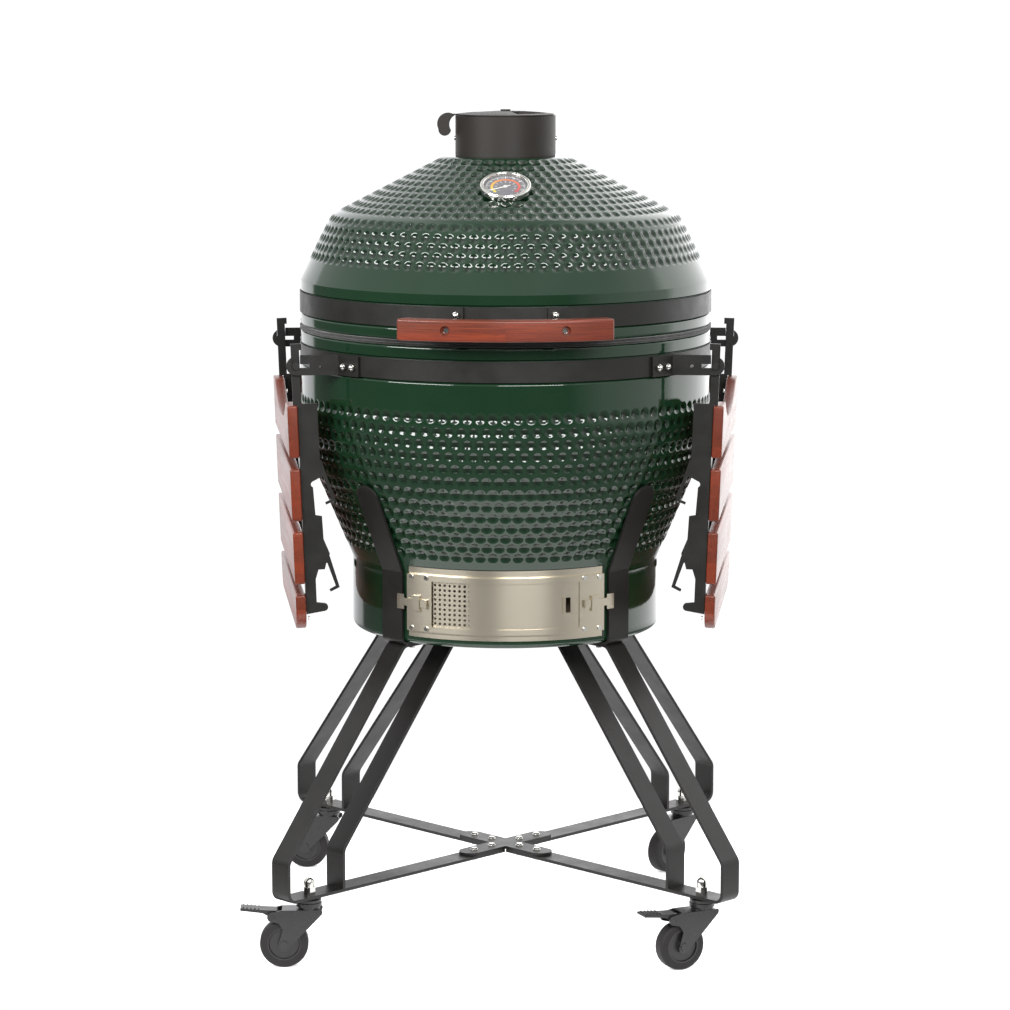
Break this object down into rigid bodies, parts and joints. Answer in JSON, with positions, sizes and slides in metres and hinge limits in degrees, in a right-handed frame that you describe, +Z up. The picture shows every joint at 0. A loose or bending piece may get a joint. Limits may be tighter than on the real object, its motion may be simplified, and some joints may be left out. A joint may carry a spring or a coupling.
{
  "type": "kamado ceramic grill",
  "caption": "Egg-shaped ceramic charcoal grill with hinged lid, chimney and bottom vents, dial thermometer, wooden handle and folding side shelves, on a flat-bar cart with swivel casters",
  "frame": {"origin": "on the floor under the axis of the ceramic body", "axes": "+Z up, -Y towards the cook (thermometer, handle and bottom vent), +X to the cook's right"},
  "size_m": [0.8033, 0.7962, 1.3194],
  "materials": {
    "green_glaze": "high gloss green glaze with pressed dimples",
    "fire_clay": "rough unglazed fire clay",
    "black_felt": "dense black gasket felt",
    "black_steel": "satin black powder coat",
    "caster_steel": "black coated pressed steel",
    "chrome_steel": "bright plated",
    "stainless": "brushed stainless",
    "cast_iron": "seasoned cast iron",
    "bamboo": "red-brown stained and lacquered bamboo",
    "tyre_rubber": "grey-black moulded rubber",
    "black_plastic": "moulded black plastic",
    "dial_face": "printed dial",
    "lens_glass": "clear",
    "needle_white": "satin"
  },
  "bodies": {
    "base": {"bowl": "green_glaze", "lower_gasket": "black_felt", "lower_band": "black_steel", "lower_hinge_bracket": "black_steel", "hinge_pin": "chrome_steel", "hinge_springs": "chrome_steel", "fire_box": "fire_clay", "fire_ring": "fire_clay", "charcoal_grate": "cast_iron", "vent_frame": "stainless", "body_fasteners": "chrome_steel", "shelf_hooks_left": "black_steel", "shelf_hooks_right": "black_steel", "uprights": "black_steel", "leg_front_left": "black_steel", "leg_front_right": "black_steel", "leg_rear_left": "black_steel", "leg_rear_right": "black_steel", "cross_plate": "black_steel", "cart_fasteners": "chrome_steel", "caster_stems": "chrome_steel"},
    "lid": {"dome": "green_glaze", "upper_gasket": "black_felt", "upper_band": "black_steel", "upper_hinge_bracket": "black_steel", "handle_bar": "bamboo", "handle_brackets": "black_steel", "lid_fasteners": "chrome_steel", "gauge_case": "chrome_steel", "gauge_dial": "dial_face", "gauge_lens": "lens_glass", "gauge_probe": "stainless", "chimney": "black_steel"},
    "chimney_vent": {"chimney_disc": "black_steel"},
    "needle": {"gauge_needle": "needle_white"},
    "grid": {"cooking_grid": "stainless"},
    "door": {"vent_door": "stainless"},
    "screen": {"mesh_screen": "stainless"},
    "latch_l": {"latch_left": "stainless"},
    "latch_r": {"latch_right": "stainless"},
    "shelf_left": {"shelf_slats_left": "bamboo", "shelf_brackets_left": "black_steel", "shelf_screws_left": "chrome_steel"},
    "shelf_right": {"shelf_slats_right": "bamboo", "shelf_brackets_right": "black_steel", "shelf_screws_right": "chrome_steel"},
    "fork_front_left": {"caster_fork_front_left": "caster_steel"},
    "wheel_front_left": {"caster_tyre_front_left": "tyre_rubber", "caster_hub_front_left": "black_plastic"},
    "pedal_front_left": {"brake_pedal_front_left": "black_plastic"},
    "fork_front_right": {"caster_fork_front_right": "caster_steel"},
    "wheel_front_right": {"caster_tyre_front_right": "tyre_rubber", "caster_hub_front_right": "black_plastic"},
    "pedal_front_right": {"brake_pedal_front_right": "black_plastic"},
    "fork_rear_left": {"caster_fork_rear_left": "caster_steel"},
    "wheel_rear_left": {"caster_tyre_rear_left": "tyre_rubber", "caster_hub_rear_left": "black_plastic"},
    "fork_rear_right": {"caster_fork_rear_right": "caster_steel"},
    "wheel_rear_right": {"caster_tyre_rear_right": "tyre_rubber", "caster_hub_rear_right": "black_plastic"}
  },
  "joints": [
    {"name": "lid_hinge", "type": "hinge", "parent": "base", "child": "lid", "pos_m": [0, 0.378, 0.958], "axis": [-1, 0, 0], "range_deg": [0, 75], "stiffness_Nm_per_rad": 95, "springref_deg": 77.35},
    {"name": "chimney_vent_turn", "type": "hinge", "parent": "lid", "child": "chimney_vent", "pos_m": [0, 0, 1.31], "axis": [0, 0, 1], "range_deg": [-55, 35]},
    {"name": "needle_turn", "type": "hinge", "parent": "lid", "child": "needle", "pos_m": [0, -0.182, 1.20283], "axis": [0, -0.4571, 0.8894], "range_deg": [-230, 0]},
    {"name": "grid_lift", "type": "slide", "parent": "base", "child": "grid", "axis": [0, 0, 1], "range_m": [0, 0.1]},
    {"name": "vent_door_slide", "type": "hinge", "parent": "base", "child": "door", "pos_m": [0, 0, 0.559], "axis": [0, 0, 1], "range_deg": [-14.4, 5.2]},
    {"name": "mesh_screen_slide", "type": "hinge", "parent": "base", "child": "screen", "pos_m": [0, 0, 0.559], "axis": [0, 0, 1], "range_deg": [0, 23.5]},
    {"name": "latch_l_pull", "type": "hinge", "parent": "base", "child": "latch_l", "pos_m": [0, 0, 0.559], "axis": [0, 0, -1], "range_deg": [0, 2.2], "stiffness_Nm_per_rad": 30, "springref_deg": -1.15},
    {"name": "latch_r_pull", "type": "hinge", "parent": "base", "child": "latch_r", "pos_m": [0, 0, 0.559], "axis": [0, 0, 1], "range_deg": [0, 2.2], "stiffness_Nm_per_rad": 30, "springref_deg": -1.15},
    {"name": "shelf_right_fold", "type": "hinge", "parent": "base", "child": "shelf_right", "pos_m": [0.35, 0, 0.9317], "axis": [-0.1149, -0.9934, 0], "range_deg": [0, 92]},
    {"name": "shelf_left_fold", "type": "hinge", "parent": "base", "child": "shelf_left", "pos_m": [-0.35, 0, 0.9317], "axis": [-0.1149, 0.9934, 0], "range_deg": [0, 92]},
    {"name": "swivel_front_left", "type": "hinge", "parent": "base", "child": "fork_front_left", "pos_m": [-0.30618, -0.30618, 0.1], "axis": [0, 0, 1], "continuous": true},
    {"name": "wheel_spin_front_left", "type": "hinge", "parent": "fork_front_left", "child": "wheel_front_left", "pos_m": [-0.34515, -0.30754, 0.038], "axis": [0.0349, -0.9994, 0], "continuous": true},
    {"name": "brake_pedal_front_left", "type": "hinge", "parent": "fork_front_left", "child": "pedal_front_left", "pos_m": [-0.36014, -0.30806, 0.083], "axis": [0.0349, -0.9994, 0], "range_deg": [0, 8]},
    {"name": "swivel_front_right", "type": "hinge", "parent": "base", "child": "fork_front_right", "pos_m": [0.30618, -0.30618, 0.1], "axis": [0, 0, 1], "continuous": true},
    {"name": "wheel_spin_front_right", "type": "hinge", "parent": "fork_front_right", "child": "wheel_front_right", "pos_m": [0.27083, -0.32266, 0.038], "axis": [0.4226, -0.9063, 0], "continuous": true},
    {"name": "brake_pedal_front_right", "type": "hinge", "parent": "fork_front_right", "child": "pedal_front_right", "pos_m": [0.25724, -0.329, 0.083], "axis": [0.4226, -0.9063, 0], "range_deg": [0, 8]},
    {"name": "swivel_rear_left", "type": "hinge", "parent": "base", "child": "fork_rear_left", "pos_m": [-0.30618, 0.30618, 0.1], "axis": [0, 0, 1], "continuous": true},
    {"name": "wheel_spin_rear_left", "type": "hinge", "parent": "fork_rear_left", "child": "wheel_rear_left", "pos_m": [-0.3448, 0.31161, 0.038], "axis": [-0.1392, -0.9903, 0], "continuous": true},
    {"name": "swivel_rear_right", "type": "hinge", "parent": "base", "child": "fork_rear_right", "pos_m": [0.30618, 0.30618, 0.1], "axis": [0, 0, 1], "continuous": true},
    {"name": "wheel_spin_rear_right", "type": "hinge", "parent": "fork_rear_right", "child": "wheel_rear_right", "pos_m": [0.2786, 0.2786, 0.038], "axis": [0.7071, -0.7071, 0], "continuous": true}
  ]
}
